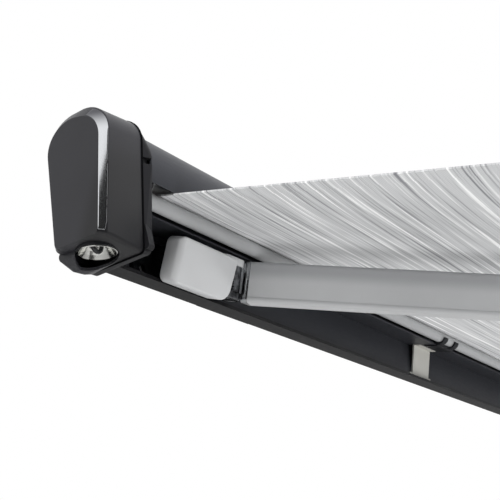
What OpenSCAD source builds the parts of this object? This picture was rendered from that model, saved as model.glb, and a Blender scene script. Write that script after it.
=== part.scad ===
// Roll out awning: a wall-hung cassette with a cloth roller, two folding arms, a lead rail that
// closes the cassette, two telescopic legs stowed in the rail, and a winding eye in the left cap.
// It is drawn rolled out. +X runs along the cassette, -Y points away from the wall, +Z is up.
// The origin lies on the wall, midway between the bolt holes of the middle wall bracket.
// Section coordinates are (s, z): s outward from the cassette's back, z up from its top.

/* [Cassette] */
// Length of the cassette profile between its end plates
cassette_l = 3100; // [2900:50:3500]
// Height of the cassette profile
cassette_h = 133; // [132:1:137]
// Outer radius of the round cover
cover_r = 43; // [42.6:0.2:43.6]
// Wall of the cassette profile
cassette_wall = 2.4; // [1.8:0.2:2.6]
// Depth of the bottom lip
lip_depth = 21; // [14:1:22]
// Slope of the fabric and of the arms, in degrees
pitch = 12.5; // [12:0.25:13]
// How far the cassette's back stands off the wall
wall_gap = 8; // [6:1:12]

/* [Roller] */
// Radius of the roller tube
roller_r = 20; // [16:1:21]
// Wall of the roller tube
roller_wall = 1.8; // [1.2:0.2:2.6]
// Thickness of the cloth turns left on the roller
roll_t = 2.4; // [1.2:0.3:3]
// Radius of the roller's shaft ends
shaft_r = 7.95; // [6:0.5:9]
// Play of a shaft in its bush, on the radius
shaft_play = 0.05; // [0.02:0.01:0.09]
// Radius of the guide bar under the fabric
bar_r = 8.5; // [7.5:0.25:8.75]

/* [End pieces] */
// Thickness of each end plate
plate_t = 9.5; // [8:0.5:12]
// Length of each end cap along the cassette
cap_l = 54; // [50:1:60]
// Wall of the end caps
cap_wall = 3; // [2:0.25:4]
// Radius of the winding funnel's mouth
funnel_r = 20; // [17:0.5:21]

/* [Arms] */
// Height of the arm profiles
arm_h = 50; // [44:1:51]
// Thickness of the arm profiles
arm_t = 22; // [18:0.5:22]
// Wall of the arm profiles
arm_wall = 2; // [1.5:0.25:3]
// How much wider the bottom lip of an arm profile is than its sides
arm_lip = 2.5; // [1:0.5:2.5]
// Angle of the arms away from straight out when the awning is open, in degrees
rest_angle = 19; // [15:1:30]
// Distance from the cassette's end to the shoulder pin
pin_inset = 210; // [200:5:260]
// Distance between shoulder pin and wrist pin when folded
pin_gap = 20; // [19.6:0.1:20.4]
// Distance between the two elbow pins when folded
elbow_gap = 80; // [70:5:140]
// Radius of the shoulder and elbow pins
pin_r = 5; // [4:0.25:5.5]
// Radius of the wrist pins
wrist_pin_r = 3.5; // [3:0.25:4]
// Play of a hinge pin in its barrel, on the radius
pin_play = 0.05; // [0.02:0.01:0.09]

/* [Lead rail] */
// Depth of the lead rail, front to back
rail_d = 29; // [29:0.5:32]
// Wall of the lead rail
rail_wall = 2; // [1.4:0.2:2]
// Thickness of a leg tube
leg_t = 11; // [9:0.5:11]
// Width of a leg tube
leg_w = 34; // [28:1:36]
// Wall of a leg tube
leg_wall = 1.2; // [1:0.1:1.6]
// Length of a stowed leg without its foot
leg_l = 1370; // [1150:10:1380]

/* [Canopy] */
// Thickness of the canopy solid
canopy_t = 1; // [0.6:0.1:1.2]
// How far the canopy's side edges stay inside the end plates
canopy_inset = 30; // [20:2:60]

/* [Hidden] */

$fn = 48;
LEFT = -1;
RIGHT = 1;
EPS = 0.01;

half_l = cassette_l / 2;
// Height of the cassette's top above the bolt line
top_z = 62;
// Centre of the round cover, and the angle at which its front lip ends
cover_c = [cover_r, -41];
lip_angle = -28;
lip_rise = 4.5;
// Underside of the inner shelf: height at the back wall, and how far forward it reaches
shelf_z = -68;
shelf_s = 50;
shelf_slope = tan(pitch) + 0.007;
port_r = 4;

roller_c = [36, -34];
bush_r = 11;
bush_t = 1.5;
roller_end_gap = 14;
roll_r = roller_r + roll_t;
keder_slot_r = 2.4;

bar_c = [57, -66.8];
bar_wall = 1.6;
fork_t = 3;
fork_gap = 0.3;
support_inset = 803;
support_w = 62;
support_t = 2.2;
leaf_s = cassette_wall + 9.6;

eye_s = 43.6;
eye_x = half_l + 37;
eye_z = -140;
funnel_h = 20;
funnel_wall = 1.2;
spindle_r = 5;

bolt_r = 3.5;
bolt_pitch = 60;
bracket_w = 110;
bracket_h = 70;
bracket_lift = 4;
bracket_x = half_l - 250;

// The arm mechanism lies in one plane that slopes down with the fabric. d is measured outward
// in that plane from the shoulder pins, and heights are measured square to it.
pin_s = 35;
pin_drop = 104;
pin_x = half_l - pin_inset;
arm_l = pin_x - elbow_gap / 2;
elbow_d = pin_gap / 2;
fold_lean = asin(elbow_d / arm_l);
// Folded, the upper arm lies behind the pins and the forearm in front of it
upper_back = 14;
fold_clear = 1.5;
fore_front = arm_t + arm_lip + fold_clear - upper_back;
ear_in = 16;
ear_out = 23;
shoulder_ear_r = 11;
elbow_ear_r = 12;
wrist_ear_r = 8;
barrel_r = 10.5;
elbow_barrel_r = 11.5;
wrist_barrel_r = 7.7;
barrel_h = 2 * (ear_in - 0.7);
end_clear = 26;
near_clear = 14;
plug_l = 40;
rest_out = 2 * arm_l * cos(rest_angle) - pin_gap;
spring_r = 7;
spring_l = 440;
spring_rod_l = 120;

// Lead rail section, in the closed position
rail_s = 66;
rail_top = -66;
rail_bottom = -141;
rail_step_z = -84;
rail_nose = 8;
rail_cap_t = 3;
rail_l = cassette_l - 4;
lane_gap = (rail_d - 2 * rail_wall - 2 * leg_t) / 3;
leg_inset = 50;
leg_drop = 112;
leg_pivot_r = 4;
leg_fit = 0.3;
leg_overlap = 260;
collar_l = 34;
foot_l = 32;
keder_r = 3.2;
soft_gap = 0.3;

// Fabric line: over the top of the guide bar, then down the slope
fabric_r = bar_r + soft_gap + canopy_t / 2;
fabric_turn = bar_c + fabric_r * [sin(pitch), cos(pitch)];
function fabric_z(s) = fabric_turn[1] - (s - fabric_turn[0]) * tan(pitch);
keder_s = rail_s + rail_d - 10.5;
keder_z = fabric_z(keder_s) - (canopy_t / 2 + soft_gap) / cos(pitch) - keder_r;

// Points on an arc about c from angle a0 to a1
function arc(c, r, a0, a1, n = 8) =
    [for (i = [0:n]) c + r * [cos(a0 + (a1 - a0) * i / n), sin(a0 + (a1 - a0) * i / n)]];

// Height of the shelf's underside at depth s
function shelf_under(s) = shelf_z - shelf_slope * (s - cassette_wall);

// The same with a hair's gap, for what is clamped on the shelf
function under_shelf(s) = shelf_under(s) - 0.1;

// Places a child at a point of the section, at x along the cassette
module at_section(x, s, z) translate([x, -(wall_gap + s), top_z + z]) children();

// Extrudes a drawing in section coordinates along the cassette
module along_x(x0, x1)
    translate([x1, 0, 0]) rotate([90, 0, -90]) linear_extrude(x1 - x0)
        translate([wall_gap, top_z]) children();

// A round bar along the cassette
module rod_x(x0, x1, c, r) at_section(x0, c[0], c[1]) rotate([0, 90, 0]) cylinder(h = x1 - x0, r = r);

// A round bar that points away from the wall
module rod_s(x, s0, s1, z, r) at_section(x, s0, z) rotate([90, 0, 0]) cylinder(h = s1 - s0, r = r);

// Draws a left-hand piece, or its mirror image for the right
module side(m) mirror([m == RIGHT ? 1 : 0, 0, 0]) children();

// Frame of the arm mechanism: origin midway between the shoulder pins
module arm_plane() at_section(0, pin_s, -pin_drop) rotate([pitch, 0, 0]) children();

// Moves what is drawn closed to the open position
module rolled_out() translate([0, -rest_out * cos(pitch), -rest_out * sin(pitch)]) children();

// Frames with +X along each arm, from its inner pin
module upper_frame() arm_plane() translate([-pin_x, 0, 0]) rotate([0, 0, rest_angle - 90]) children();
module fore_frame()
    arm_plane() translate([-pin_x + arm_l * sin(rest_angle), -arm_l * cos(rest_angle), 0])
        rotate([0, 0, -90 - rest_angle]) children();

module rounded_rect(w, h, r) {
    square([w - 2 * r, h], center = true);
    square([w, h - 2 * r], center = true);
    for (x = [-1, 1], y = [-1, 1]) translate([x * (w / 2 - r), y * (h / 2 - r)]) circle(r, $fn = 32);
}

// Upright cylinder with a bore, centred on the arm plane
module upright(r, h) cylinder(h = h, r = r, center = true);

// Cassette

module cover_band(r) {
    reach = 3 * cover_r;
    intersection() {
        translate(cover_c) circle(r, $fn = 96);
        polygon([
            cover_c, cover_c + reach * [cos(lip_angle), sin(lip_angle)], cover_c + [reach, 0],
            cover_c + [reach, reach], cover_c + [-reach, reach], cover_c + [-reach, 0],
        ]);
    }
}

module screw_port(c) translate(c) difference() {
    circle(port_r, $fn = 24);
    circle(port_r - 1.6, $fn = 24);
}

module housing() color("#3b3f44") difference() {
    along_x(-half_l, half_l) {
        difference() {
            cover_band(cover_r);
            translate(cover_c) circle(cover_r - cassette_wall, $fn = 96);
        }
        translate([0, -cassette_h]) square([cassette_wall, cassette_h + cover_c[1]]);
        translate([0, -cassette_h]) square([lip_depth, cassette_wall]);
        translate([lip_depth - cassette_wall, -cassette_h]) square([cassette_wall, lip_rise]);
        polygon([
            [1, shelf_under(1)], [shelf_s, shelf_under(shelf_s)],
            [shelf_s, shelf_under(shelf_s) + cassette_wall], [1, shelf_under(1) + cassette_wall],
        ]);
        screw_port([cassette_wall + port_r - 0.6, -56]);
        screw_port(cover_c + (cover_r - cassette_wall - port_r + 0.6) * [cos(60), sin(60)]);
    }
    // Drain slots in the bottom lip
    for (x = [-0.12, 0.12])
        at_section(x * cassette_l, lip_depth / 2, -cassette_h - 1)
            cylinder(h = cassette_wall + 2, r = 2.5, $fn = 24);
}

module guide_bar() color("#b9bbbc") along_x(-half_l, half_l) translate(bar_c) difference() {
    circle(bar_r);
    circle(bar_r - bar_wall);
}

module wall_brackets() color("#2c2e31") for (x = [-bracket_x, 0, bracket_x]) difference() {
    union() {
        along_x(x - bracket_w / 2, x + bracket_w / 2)
            translate([-wall_gap, -top_z - bracket_h / 2]) square([wall_gap, bracket_h]);
        // Tongue down the cassette's back that bears against it at its foot
        along_x(x - bracket_w / 2, x + bracket_w / 2) {
            translate([-wall_gap, -cassette_h + bracket_lift]) square([4, cassette_h - bracket_lift - top_z]);
            translate([-wall_gap, -cassette_h + bracket_lift]) square([wall_gap, 12]);
        }
    }
    for (dx = [-0.5, 0.5]) rod_s(x + dx * bolt_pitch, -wall_gap - 1, 1, -top_z, bolt_r);
}

// End pieces. Each slice of the cap is the hull of a front-top, a back-top, a front-bottom and a
// back-bottom round, given as [s, z, radius] at x beyond the cassette's end, grown by g.

cap_out = 0.5 + plate_t + cap_l;
slice_face = [[43, -30, 28], [36, -33, 32], [64, -129.5, 4], [19, -130, 6]];
slice_edge = [[47, -24, 33], [36, -30, 38], [70, -130, 5], [15, -131, 7]];
slice_root = [[52, -20, 30], [36, -30, 38], [75, -137, 5], [12, -138, 8]];
slice_cover = [[cover_r, -41, cover_r + 0.6], [77, -136, 5], [12, -138, 8]];
face_step = 7;
slice_t = 0.1;

module slice(x, rounds, g = 0)
    along_x(-half_l - x - slice_t, -half_l - x)
        for (c = rounds) translate([c[0], c[1]]) circle(max(c[2] + g, 1));

// Body between the cap's face and its root, grown by g and drawn in by e at the face
module cap_body(g, e) {
    hull() {
        slice(cap_out - face_step - e, slice_edge, g);
        slice(plate_t, slice_root, g);
    }
    hull() {
        slice(cap_out - slice_t - e, slice_face, g);
        slice(cap_out - face_step - e, slice_edge, g);
    }
}

// Deep part of the cap's underside, behind the funnel
module cap_sump(g) hull() {
    slice(53 + g, [[15, -140, 6.5], [56, -128, 4]], g);
    slice(38, [[17, -146, 7], [60, -132, 4]], g);
    slice(24, [[17, -145, 7], [60, -134, 4]], g);
    slice(plate_t, [[13, -139.5, 7.5], [60, -136, 5]], g);
}

module end_cap(with_funnel) color("#36393e") difference() {
    union() {
        cap_body(0, 0);
        cap_sump(0);
    }
    cap_body(-cap_wall, cap_wall);
    cap_sump(-cap_wall);
    if (with_funnel) at_section(-eye_x, eye_s, -180) cylinder(h = 60, r = funnel_r + 1.5);
}
module end_cap_left() end_cap(true);
module end_cap_right() side(RIGHT) end_cap(false);

// Bright strip that runs down the cap's front bevel and thins out over its top
module trim_strip(m) side(m) color("#c9cbd0") intersection() {
    difference() {
        hull() {
            slice(cap_out + 0.3, slice_face, 0.4);
            slice(cap_out - face_step + 0.3, slice_edge, 0.9);
        }
        cap_body(0, 0);
        hull() {
            slice(cap_out + 1, slice_face, -1.2);
            slice(cap_out - face_step, slice_face, -1.2);
        }
    }
    along_x(-half_l - cap_out - 2, -half_l - cap_out + 0.8 * face_step)
        polygon([[47, 20], [100, 20], [100, -132], [50, -126], [60, -20], [47, -10]]);
    // Slanted end over the cap's top
    translate([-half_l - cap_out - 1, 0, -2 * cassette_h]) linear_extrude(4 * cassette_h)
        polygon([[0, -wall_gap - 47], [face_step + 2, -wall_gap - 57], [face_step + 2, -200], [0, -200]]);
}
module trim_strip_left() trim_strip(LEFT);
module trim_strip_right() trim_strip(RIGHT);

module end_plate(m) side(m) color("#2f3236") difference() {
    union() {
        hull() {
            slice(plate_t - slice_t, slice_root, 0.3);
            slice(0, slice_cover, $fn = 60);
        }
        // Small foot at the front bottom corner
        along_x(-half_l - plate_t + 0.4, -half_l - 0.4) polygon(concat(
            [[60, -112], [82, -112]], arc([81, -133.5], 5, 20, -60), [[60, -136]]
        ));
    }
    rod_x(-half_l - plate_t - 1, -half_l + 1, roller_c, bush_r);
    // Slot for the housing's screw
    at_section(-half_l - plate_t / 2, cover_r + 43, -42) cube([plate_t + 1, 11, 7], center = true);
}
module end_plate_left() end_plate(LEFT);
module end_plate_right() end_plate(RIGHT);

module roller_bushes() color("#e3e1da") for (m = [LEFT, RIGHT]) side(m) difference() {
    union() {
        rod_x(-half_l - plate_t, -half_l, roller_c, bush_r - 0.05);
        rod_x(-half_l, -half_l + bush_t, roller_c, bush_r + 3);
    }
    rod_x(-half_l - plate_t - 1, -half_l + bush_t + 1, roller_c, shaft_r + shaft_play);
}

gear_x0 = -half_l - cap_out + 11;
gear_x1 = -half_l - plate_t;
neck_r = 13;

module gearbox() color("#26282b") difference() {
    union() {
        along_x(gear_x0, gear_x1) polygon(concat(
            arc([34, -34], 18, 90, 180), [[18, -104], [26, -112], [56, -112], [61, -104]],
            arc([43, -34], 18, 0, 90)
        ));
        at_section(-eye_x, eye_s, eye_z + funnel_h - 1) cylinder(h = 20, r = neck_r);
        // Collar round the funnel's mouth
        at_section(-eye_x, eye_s, eye_z + 1) difference() {
            cylinder(h = funnel_h + 4, r = funnel_r + 1.2);
            translate([0, 0, -1]) cylinder(h = funnel_h + 0.2, r = funnel_r + 0.1);
        }
    }
    rod_x(gear_x1 - 16, gear_x1 + 1, roller_c, shaft_r + 0.4);
    at_section(-eye_x, eye_s, eye_z - 1) cylinder(h = funnel_h + 26, r = spindle_r + shaft_play);
}

module winding_funnel() color("#d4d6d8") at_section(-eye_x, eye_s, eye_z) rotate_extrude($fn = 72)
    polygon(concat(
        [[spindle_r + 0.4, funnel_h - 1], [spindle_r + 0.4, funnel_h - 1 - funnel_wall]],
        [[8, funnel_h - 1 - funnel_wall]],
        [for (i = [0:6]) [8 + (funnel_r - 1.2 - 8) * i / 6, (funnel_h - 2.4) * (1 - pow(i / 6, 1.5))]],
        [[funnel_r, 0], [funnel_r, 1.2], [funnel_r - 0.5, 2]],
        [for (i = [5:-1:0]) [9 + (funnel_r - 1.2 - 8) * i / 6, 1.6 + (funnel_h - 2.8) * (1 - pow(i / 6, 1.5))]],
        [[9, funnel_h - 1]]
    ));

// The eye: a steel loop on a spindle. Its hole takes the hook of the winding crank.
loop_r = 6.5;
loop_wire = 2.2;
loop_drop = 8;
module winding_eye() color("#3a3b3d") at_section(-eye_x, eye_s, eye_z) {
    translate([0, 0, loop_drop + loop_r + loop_wire * 0.6])
        cylinder(h = funnel_h + 22 - loop_drop - loop_r, r = spindle_r, $fn = 32);
    translate([0, 0, loop_drop]) rotate([90, 0, 0])
        rotate_extrude($fn = 40) translate([loop_r, 0]) circle(loop_wire, $fn = 16);
}

// Roller

roller_x = half_l - roller_end_gap;

module roller_tube() color("#8d9093") difference() {
    rod_x(-roller_x, roller_x, roller_c, roller_r);
    rod_x(-roller_x - 1, roller_x + 1, roller_c, roller_r - roller_wall);
}

module roller_plugs() color("#2b2c2e") for (m = [LEFT, RIGHT]) side(m) {
    rod_x(-roller_x, -roller_x + 30, roller_c, roller_r - roller_wall);
    rod_x(-roller_x - 4, -roller_x, roller_c, roller_r - 1);
    rod_x(-half_l - plate_t - (m == LEFT ? 14 : -1), -roller_x, roller_c, shaft_r);
}

module fabric_roll() color("#b4b5b6")
    along_x(-half_l + canopy_inset, half_l - canopy_inset) translate(roller_c) difference() {
        circle(roll_r, $fn = 72);
        circle(roller_r, $fn = 72);
    }

// Supports of the guide bar

module at_supports() for (x = [-half_l + support_inset, half_l - support_inset]) children_at(x) children();
module children_at(x) translate([x, 0, 0]) children();

module bar_brackets() color("#b4b3ae") at_supports() {
    // Leaf that leans like the folded arms, turned forward under the shelf
    along_x(-support_w / 2, support_w / 2) polygon([
        [cassette_wall, -cassette_h + 15], [leaf_s, under_shelf(leaf_s)],
        [leaf_s + 12, under_shelf(leaf_s + 12)], [leaf_s + 12, under_shelf(leaf_s + 12) - 1.4],
        [leaf_s + support_t, under_shelf(leaf_s + support_t) - 1.6],
        [cassette_wall + support_t, -cassette_h + 15],
    ]);
    // Wider foot on the back wall
    along_x(-support_w / 2 - 9, support_w / 2 + 9)
        translate([cassette_wall, -cassette_h + cassette_wall]) square([support_t, 14]);
}

// Cradle round the back of the bar, with two prongs that reach up its front
prong_w = 13;
module bar_forks() color("#1f2023") at_supports() difference() {
    w = support_w - 6;
    foot_s = shelf_s + 0.3;
    fork_mid = bar_r + fork_gap + fork_t / 2;
    union() {
        along_x(-w / 2, w / 2) translate(bar_c) intersection() {
            difference() {
                circle(bar_r + fork_gap + fork_t);
                circle(bar_r + fork_gap);
            }
            polygon(concat([[0, 0]], arc([0, 0], 3 * bar_r, 190, 345, 6)));
        }
        // Foot clamped under the shelf's front edge
        along_x(-w / 2, w / 2) polygon([
            [30, under_shelf(30)], [foot_s, under_shelf(foot_s)],
            [foot_s, bar_c[1] - sqrt(pow(fork_mid, 2) - pow(bar_c[0] - foot_s, 2))],
            [bar_c[0], bar_c[1] - fork_mid], [bar_c[0], bar_c[1] - fork_mid - fork_t],
            [foot_s, under_shelf(foot_s) - 2], [30, under_shelf(30) - 1.6],
        ]);
    }
    // Space between the prongs
    along_x(-w / 2 + prong_w, w / 2 - prong_w)
        translate([bar_c[0] - 1, bar_c[1] - 2 * bar_r]) square([3 * bar_r, 3 * bar_r]);
}

// Shoulders

shoulder_x0 = -pin_x - 127;
shoulder_x1 = -pin_x - 21;
base_t = 6;
base_h = cassette_h + shelf_z - cassette_wall - 13.6;
core_s = 41;
core_z = [8 - cassette_h, -90];

module both_ears() for (z = [-ear_out, ear_in]) translate([0, 0, z]) children();

// Two ears of radius r about a pin, carried by an upright web reach away on the -X side
module fork_ears(r, reach, web) {
    both_ears() {
        cylinder(h = ear_out - ear_in, r = r);
        translate([-reach, -r, 0]) cube([reach, 2 * r, ear_out - ear_in]);
    }
    translate([-reach, -r, -ear_out]) cube([web, 2 * r, 2 * ear_out]);
}

module shoulder_bracket(m) side(m) color("#2e3034") difference() {
    union() {
        // Base plate on the back wall and the core inside the cover
        along_x(shoulder_x0 - 22, shoulder_x1 + 4)
            translate([cassette_wall, -cassette_h + cassette_wall]) square([base_t, base_h]);
        along_x(shoulder_x0 + 12, shoulder_x1 - 4)
            translate([cassette_wall + base_t, core_z[0]])
                square([core_s - cassette_wall - base_t, core_z[1] - core_z[0]]);
        // Bosses that carry the cover
        cover_frame() for (x = [shoulder_x0 + 30, shoulder_x1 - 26])
            translate([x, -cover_d[1] + cover_t, -4]) rotate([-90, 0, 0]) cylinder(h = 18, r = 5);
        arm_plane() translate([-pin_x, 0, 0]) {
            fork_ears(shoulder_ear_r - 1, 20, 7);
            both_ears() cylinder(h = ear_out - ear_in, r = shoulder_ear_r);
            translate([-40, -8, -ear_in]) cube([26, 16, 2 * ear_in]);
        }
    }
    arm_plane() translate([-pin_x, 0, 0]) upright(pin_r, 3 * ear_out);
}
module shoulder_bracket_left() shoulder_bracket(LEFT);
module shoulder_bracket_right() shoulder_bracket(RIGHT);

// The cover leans a little more than the arms. It is drawn in its own frame at the shoulder pins,
// with d outward and heights square to that.
cover_tilt = pitch + 6.5;
cover_d = [-3.5, 17];
cover_h = [-31, 20.5];
cover_t = 2.5;
cover_corner = 9;

module cover_frame() at_section(0, pin_s, -pin_drop) rotate([cover_tilt, 0, 0]) children();

module cover_block(r, e) hull()
    for (x = [shoulder_x0 + 3 + r, shoulder_x1 + e], y = [-cover_d[1] + r, -cover_d[0] + e],
         z = [cover_h[0] + r, cover_h[1] - r]) translate([x, y, z]) sphere(r, $fn = 24);

module shoulder_cover(m) side(m) color("#c3c4c5") cover_frame() difference() {
    cover_block(cover_corner, 20);
    // Inside, open towards the wall and at the end towards the arm
    translate([shoulder_x0 + 8, 0, 0]) rotate([90, 0, 90]) linear_extrude(200) hull()
        for (y = [-cover_d[1] + cover_corner, 40], z = [cover_h[0] + cover_corner, cover_h[1] - cover_corner])
            translate([y, z]) circle(cover_corner - cover_t, $fn = 24);
    translate([shoulder_x1, -60, -60]) cube([60, 120, 120]);
    translate([shoulder_x0 - 20, -cover_d[0], -60]) cube([200, 60, 120]);
}
module shoulder_cover_left() shoulder_cover(LEFT);
module shoulder_cover_right() shoulder_cover(RIGHT);

// A hinge pin with a thin head at each end
module hinge_pin(r) {
    upright(r, 2 * ear_out);
    for (z = [-1, 1]) translate([0, 0, z * (ear_out + 0.6)]) upright(r + 2, 1.2);
}

module shoulder_pins() color("#caccce") for (m = [LEFT, RIGHT]) side(m)
    arm_plane() translate([-pin_x, 0, 0]) hinge_pin(pin_r);

module shoulder_bolts() color("#8b8d90") for (m = [LEFT, RIGHT]) side(m)
    for (z = [13, 41])
        rod_s(shoulder_x0 - 12, cassette_wall + base_t, cassette_wall + base_t + 4, z - cassette_h, bolt_r + 1.5);

// Arms

module arm_section(g) {
    rounded_rect(arm_t - 2 * g, arm_h - 2 * g, 4.5 - g);
    if (g == 0) translate([0, -arm_h / 2 + 4]) rounded_rect(arm_t + arm_lip, 8, 3.9);
}

// A length of arm profile from x0 to x1
module arm_bar(x0, x1) translate([x0, 0, 0]) rotate([90, 0, 90]) linear_extrude(x1 - x0) children();

// Centre line of the upper arm's profile and of the forearm's
module on_upper() translate([0, upper_back, 0]) rotate([0, 0, fold_lean]) children();
module on_fore() translate([0, fore_front - elbow_d, 0]) rotate([0, 0, -fold_lean]) children();

module profile_tube(near) arm_bar(near + 6, arm_l - end_clear - 4) difference() {
    arm_section(0);
    arm_section(arm_wall);
}

// End plug of a profile: a flange of the profile's outline and a plug inside it
module profile_plug(x, inward) {
    flange = 8;
    arm_bar(inward > 0 ? x - flange : x, inward > 0 ? x : x + flange)
        rounded_rect(arm_t, arm_h, 4.5);
    arm_bar(inward > 0 ? x - EPS : x - plug_l, inward > 0 ? x + plug_l : x + EPS)
        arm_section(arm_wall + 0.1);
}

module upper_arm(m) side(m) color("#a9abad") upper_frame() on_upper() profile_tube(near_clear);
module upper_arm_left() upper_arm(LEFT);
module upper_arm_right() upper_arm(RIGHT);

module forearm(m) side(m) color("#a9abad") fore_frame() on_fore() profile_tube(end_clear);
module forearm_left() forearm(LEFT);
module forearm_right() forearm(RIGHT);

// Barrel on a hinge pin with a neck that runs to the profile's end, at side offset y
module knuckle(y, r, neck_x, waist = 0.35) {
    hw = arm_t / 2 - 1;
    upright(r, barrel_h);
    linear_extrude(barrel_h, center = true)
        polygon([[0, -r * 0.8], [neck_x, y - hw], [neck_x, y + hw], [neck_x * waist, max(y + hw - 3, r * 0.8)], [0, r * 0.8]]);
}

module bore(r) upright(r, 4 * ear_out);

module shoulder_knuckle(m) side(m) color("#4a4c50") upper_frame() difference() {
    union() {
        knuckle(upper_back, barrel_r, near_clear);
        on_upper() profile_plug(near_clear + 6, 1);
    }
    bore(pin_r + pin_play);
}
module shoulder_knuckle_left() shoulder_knuckle(LEFT);
module shoulder_knuckle_right() shoulder_knuckle(RIGHT);

elbow_y = upper_back + arm_l * tan(fold_lean);

module elbow_fork(m) side(m) color("#8f9194") upper_frame() difference() {
    union() {
        on_upper() profile_plug(arm_l - end_clear - 4, -1);
        translate([arm_l, 0, 0]) {
            // Block behind the pin that carries both ears
            translate([-end_clear, elbow_y - arm_t / 2 + 1, -ear_out])
                cube([end_clear + elbow_ear_r - 3, arm_t - 2, 2 * ear_out]);
            translate([elbow_ear_r - 3, elbow_y, 0]) cylinder(h = 2 * ear_out, r = arm_t / 2 - 1, center = true);
            both_ears() {
                cylinder(h = ear_out - ear_in, r = elbow_ear_r);
                translate([-elbow_ear_r, 0, 0]) cube([2 * elbow_ear_r, elbow_y, ear_out - ear_in]);
            }
        }
    }
    translate([arm_l, 0, 0]) bore(pin_r);
}
module elbow_fork_left() elbow_fork(LEFT);
module elbow_fork_right() elbow_fork(RIGHT);

module elbow_pin(m) side(m) color("#caccce") upper_frame() translate([arm_l, 0, 0]) hinge_pin(pin_r);
module elbow_pin_left() elbow_pin(LEFT);
module elbow_pin_right() elbow_pin(RIGHT);

// Spring unit inside the upper arm that pushes the elbow open
module arm_spring(m) side(m) color("#55585c") upper_frame() on_upper() {
    x1 = arm_l - end_clear - 4 - plug_l;
    translate([x1 - spring_l - spring_rod_l, 0, 0]) rotate([0, 90, 0]) cylinder(h = spring_l, r = spring_r);
    translate([x1 - spring_rod_l - EPS, 0, 0]) rotate([0, 90, 0]) cylinder(h = spring_rod_l, r = spring_r / 2);
}
module arm_spring_left() arm_spring(LEFT);
module arm_spring_right() arm_spring(RIGHT);

module elbow_knuckle(m) side(m) color("#4a4c50") fore_frame() difference() {
    union() {
        knuckle(fore_front - elbow_d, elbow_barrel_r, end_clear);
        on_fore() profile_plug(end_clear + 6, 1);
    }
    bore(pin_r + pin_play);
}
module elbow_knuckle_left() elbow_knuckle(LEFT);
module elbow_knuckle_right() elbow_knuckle(RIGHT);

wrist_y = fore_front - elbow_d - arm_l * tan(fold_lean);

module wrist_knuckle(m) side(m) color("#4a4c50") fore_frame() difference() {
    union() {
        translate([arm_l, 0, 0]) mirror([1, 0, 0]) mirror([0, 1, 0]) knuckle(-wrist_y, wrist_barrel_r, end_clear, 0.65);
        on_fore() profile_plug(arm_l - end_clear - 4, -1);
    }
    translate([arm_l, 0, 0]) bore(wrist_pin_r + pin_play);
}
module wrist_knuckle_left() wrist_knuckle(LEFT);
module wrist_knuckle_right() wrist_knuckle(RIGHT);

// Lead rail, drawn closed and moved out

rail_front = rail_s + rail_d;

module rail_outline(g) polygon(concat(
    [[rail_s + g, rail_bottom - (g > 0 ? 1 : 0)], [rail_s + g, rail_step_z - g]],
    [[rail_s + 6 + g, rail_step_z + 4.5 - g], [rail_s + 6 + g, rail_top - 2 - g]],
    arc([rail_front - rail_nose, rail_top - rail_nose], rail_nose - g, 90, 0, 6),
    [[rail_front - g, rail_bottom - (g > 0 ? 1 : 0)]]
));

module lead_rail() color("#3b3f44") rolled_out() difference() {
    along_x(-rail_l / 2, rail_l / 2) difference() {
        rail_outline(0);
        difference() {
            rail_outline(rail_wall);
            translate([keder_s, keder_z]) circle(keder_r + 2.2, $fn = 32);
        }
        // Groove for the cloth's edge rod, open at the top
        translate([keder_s, keder_z]) circle(keder_r + 0.2, $fn = 32);
        translate([keder_s - 10, keder_z + keder_r * 0.45]) square([20, 10]);
    }
    for (m = [LEFT, RIGHT]) rod_s(m * (half_l - leg_inset), rail_s - 1, rail_front + 1, -leg_drop, leg_pivot_r);
}

module rail_end_caps() color("#26282b") rolled_out() for (m = [LEFT, RIGHT]) side(m)
    along_x(-rail_l / 2 - rail_cap_t / 2, -rail_l / 2) rail_outline(0);

module keder_rod() color("#c8c9ca") rolled_out()
    rod_x(-half_l + canopy_inset, half_l - canopy_inset, [keder_s, keder_z], keder_r);

plate_back = 6;
plate_h = 50;
wrist_root = 34;

module wrist_brackets() color("#8f9194") rolled_out() for (m = [LEFT, RIGHT]) side(m) difference() {
    union() {
        intersection() {
            arm_plane() translate([-pin_x, -pin_gap, 0]) {
                fork_ears(wrist_ear_r, 18, 6);
                translate([-wrist_root - 12, -wrist_root - 6, -ear_out])
                    cube([wrist_root, wrist_root, 2 * ear_out]);
            }
            along_x(-half_l, 0) translate([0, -cassette_h - 20]) square([rail_s, cassette_h]);
        }
        along_x(-pin_x - 58, -pin_x - 12)
            translate([rail_s - plate_back, rail_bottom + 5]) square([plate_back, plate_h]);
    }
    arm_plane() translate([-pin_x, -pin_gap, 0]) bore(wrist_pin_r);
}

module wrist_pins() color("#caccce") rolled_out() for (m = [LEFT, RIGHT]) side(m)
    arm_plane() translate([-pin_x, -pin_gap, 0]) upright(wrist_pin_r, 2 * ear_out);

// Legs. The left one lies in the back lane of the rail and the right one in the front lane,
// so each swings and slides past the other.

function lane_s(m) = rail_s + rail_wall + lane_gap + leg_t / 2 + (m == LEFT ? 0 : leg_t + lane_gap);

module leg_frame(m) rolled_out() side(m) at_section(-half_l + leg_inset, lane_s(m), -leg_drop) children();

// A length of leg tube: section in (Y, Z), run along +X
module leg_bar(x0, x1) translate([x0, 0, 0]) rotate([90, 0, 90]) linear_extrude(x1 - x0) children();
module leg_shape(g) rounded_rect(leg_t - 2 * g, leg_w - 2 * g, 4.5 - g);

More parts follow.
